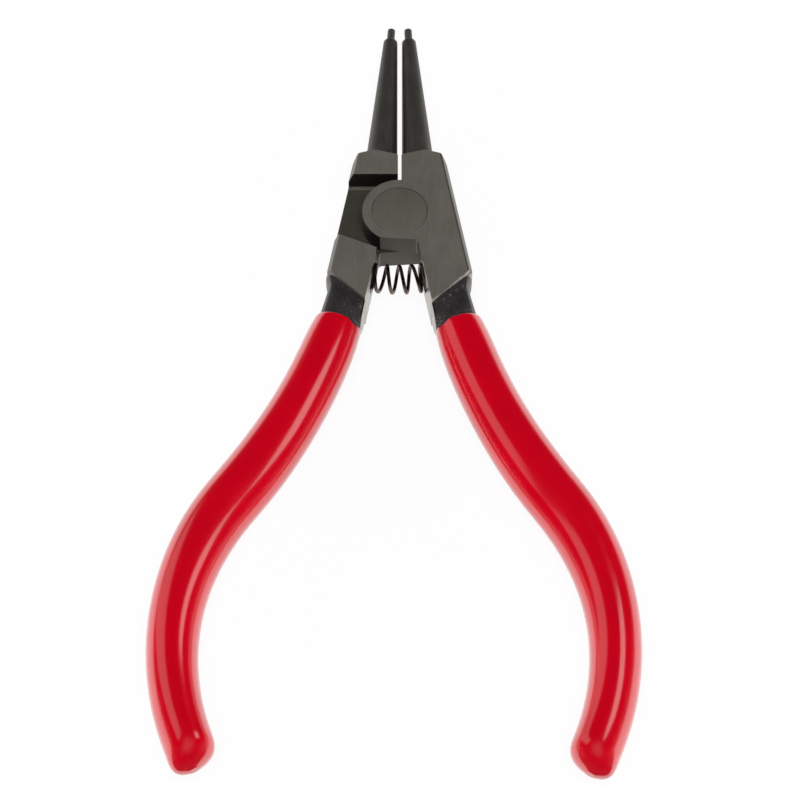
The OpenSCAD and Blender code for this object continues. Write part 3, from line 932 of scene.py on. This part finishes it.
def close_rim(grip, centre):
    """Rolls the rim inward and closes it out of sight, inside the steel."""
    back = heading(RIM_LEAN).to_3d() * MM
    pick(grip, "EDGE", lambda e: len(e.link_faces) == 1)
    for shrink, deeper in RIM_ROLL:
        bpy.ops.mesh.extrude_region_move(TRANSFORM_OT_translate={"value": back * deeper})
        bpy.ops.transform.resize(value=(shrink, shrink, shrink), center_override=centre)
    bpy.ops.mesh.edge_face_add()
    bpy.ops.mesh.poke()


def grip_piece(name, mesh_object):
    """A copy of the drawn grip, set to its own handle; the left one is its mirror image."""
    grip = bpy.data.objects.new(name + "_dipped_grip", mesh_object.data.copy())
    bpy.context.scene.collection.objects.link(grip)
    grip.rotation_euler.z = HANDLE_SET[name]
    place(grip)
    if name == "left":
        grip.scale.x = -1
        place(grip)
    edit(grip)
    finish_edit(grip, 60)
    smooth = grip.modifiers.new("smooth_skin", "SUBSURF")
    smooth.levels = 2
    smooth.render_levels = 2
    bpy.ops.object.modifier_apply(modifier=smooth.name)
    grip.data.materials.clear()
    grip.data.materials.append(vinyl)
    return grip


drawn_grip = grip_mesh()
for name, body in (("left", "left_half"), ("right", "right_half")):
    grip = grip_piece(name, drawn_grip)
    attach(grip, body)
    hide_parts(name + "_grip")
    low = min(v.co.y for v in grip.data.vertices)
    print(grip.name, len(grip.data.polygons), "faces, down to Y", round(low / MM, 2), "mm")
bpy.data.objects.remove(drawn_grip)

# %% [markdown]
# ## Studio
# The tool lies on a plain white floor. The floor is white to the camera and in reflections, and keeps a
# faint shadow. The room is bright near the horizon and dim overhead. A softbox and a broad panel draw the
# streaks on the grips, and three fills, which no reflection shows, light the rest evenly. A black card
# stands in front of the handles, as in a photo studio: only reflections show it, and it keeps the glossy
# ends of the grips a deep red.

# %% Floor and room
FLOOR_SIZE = 8.0
FLOOR_GLOW = 0.93
CARD_Y = -106
CARD_W = 400
CARD_H = 50


def studio_floor():
    bpy.ops.object.select_all(action="DESELECT")
    bpy.ops.mesh.primitive_plane_add(size=FLOOR_SIZE)
    floor = bpy.context.object
    floor.name = "floor"
    material, shader = new_material("white_floor")
    tree = material.node_tree
    shader.inputs["Base Color"].default_value = linear("#f4f4f4")
    shader.inputs["Roughness"].default_value = 0.8
    rays = add(tree, "ShaderNodeLightPath")
    seen = add(tree, "ShaderNodeMath", {"operation": "MAXIMUM"},
               {0: rays.outputs["Is Camera Ray"], 1: rays.outputs["Is Glossy Ray"]})
    shown = add(tree, "ShaderNodeMath", {"operation": "MAXIMUM"},
                {0: seen.outputs["Value"], 1: rays.outputs["Is Transmission Ray"]})
    part = add(tree, "ShaderNodeMath", {"operation": "MULTIPLY", 1: FLOOR_GLOW},
               {0: shown.outputs["Value"]})
    glow = add(tree, "ShaderNodeEmission", {"Strength": 1.0, "Color": (1, 1, 1, 1)})
    mixed = add(tree, "ShaderNodeMixShader", None,
                {0: part.outputs["Value"], 1: shader.outputs["BSDF"], 2: glow.outputs["Emission"]})
    tree.links.new(mixed.outputs["Shader"], tree.nodes["Material Output"].inputs["Surface"])
    floor.data.materials.append(material)


def front_card(front, width, height):
    """A black card that stands in front of the handles, as a studio uses it; only reflections show it."""
    bpy.ops.object.select_all(action="DESELECT")
    bpy.ops.mesh.primitive_plane_add(size=1, location=(0, front, height / 2), rotation=(math.pi / 2, 0, 0))
    card = bpy.context.object
    card.scale = (width, height, 1)
    place(card)
    card.name = "front_card"
    material, shader = new_material("black_card")
    shader.inputs["Base Color"].default_value = linear("#141414")
    shader.inputs["Roughness"].default_value = 0.9
    card.data.materials.append(material)
    card.visible_camera = card.visible_diffuse = card.visible_shadow = card.visible_transmission = False


def studio_room():
    world = bpy.data.worlds.new("studio_room")
    bpy.context.scene.world = world
    world.use_nodes = True
    tree = world.node_tree
    where = add(tree, "ShaderNodeTexCoord")
    height = add(tree, "ShaderNodeSeparateXYZ", None, {"Vector": where.outputs["Generated"]})
    shade = add(tree, "ShaderNodeValToRGB", None, {"Fac": height.outputs["Z"]})
    ramp_colours(shade, [(0.0, "#ffffff"), (0.08, "#a8a8a8"), (0.2, "#0a0a0a")])
    tree.links.new(shade.outputs["Color"], tree.nodes["Background"].inputs["Color"])
    tree.nodes["Background"].inputs["Strength"].default_value = 1.0


studio_floor()
front_card(CARD_Y * MM, CARD_W * MM, CARD_H * MM)
studio_room()

# %% Lamps
TARGET = Vector((0, -34.07, MID_Z)) * MM


def soft_lamp(name, direction, distance, size, power, roll=0, in_reflections=True):
    """An area lamp that looks at the middle of the tool; roll turns it about its own axis, in degrees."""
    light = bpy.data.lights.new(name, "AREA")
    light.shape = "RECTANGLE"
    light.size, light.size_y = size
    light.energy = power
    lamp = bpy.data.objects.new(name, light)
    bpy.context.scene.collection.objects.link(lamp)
    aim = Vector(direction).normalized()
    lamp.location = TARGET + aim * distance
    turn = aim.to_track_quat("Z", "Y") @ Quaternion((0, 0, 1), math.radians(roll))
    lamp.rotation_euler = turn.to_euler()
    lamp.visible_camera = False
    lamp.visible_glossy = in_reflections
    return lamp


# Each line gives the direction, distance and size in metres, power in watts and roll in degrees.
soft_lamp("right_softbox", (0.556, 0.2, 0.79), 0.31, (0.124, 0.093), 0.042)
soft_lamp("left_panel", (-0.73, 0.383, 0.566), 0.6, (0.28, 0.56), 0.2, -28)
soft_lamp("overhead_fill", (0, -0.3, 0.95), 1.0, (0.8, 0.8), 10.4, in_reflections=False)
for side in (-1, 1):
    soft_lamp("side_fill", (side, -0.08, 0.17), 1.0, (1.0, 0.34), 7.0, in_reflections=False)

# %% [markdown]
# ## Camera
# The photograph looks down on the tool from the handle side, 31 degrees off the vertical, from about half
# a metre.

# %% Camera
CAMERA_TILT = math.radians(31)
CAMERA_DISTANCE = 500 * MM
CAMERA_ASIDE = 0.05 * MM
camera_data = bpy.data.cameras.new("camera")
camera_data.sensor_width = 36
camera_data.lens = 140.16
camera_data.clip_start = 0.01
camera = bpy.data.objects.new("camera", camera_data)
bpy.context.scene.collection.objects.link(camera)
away = CAMERA_DISTANCE * Vector((0, -math.sin(CAMERA_TILT), math.cos(CAMERA_TILT)))
camera.location = TARGET + away + Vector((CAMERA_ASIDE, 0, 0))
camera.rotation_euler = (CAMERA_TILT, 0, 0)
bpy.context.scene.camera = camera
bpy.context.scene.view_settings.view_transform = "Standard"
print("camera at", [round(c / MM, 1) for c in camera.location], "mm")
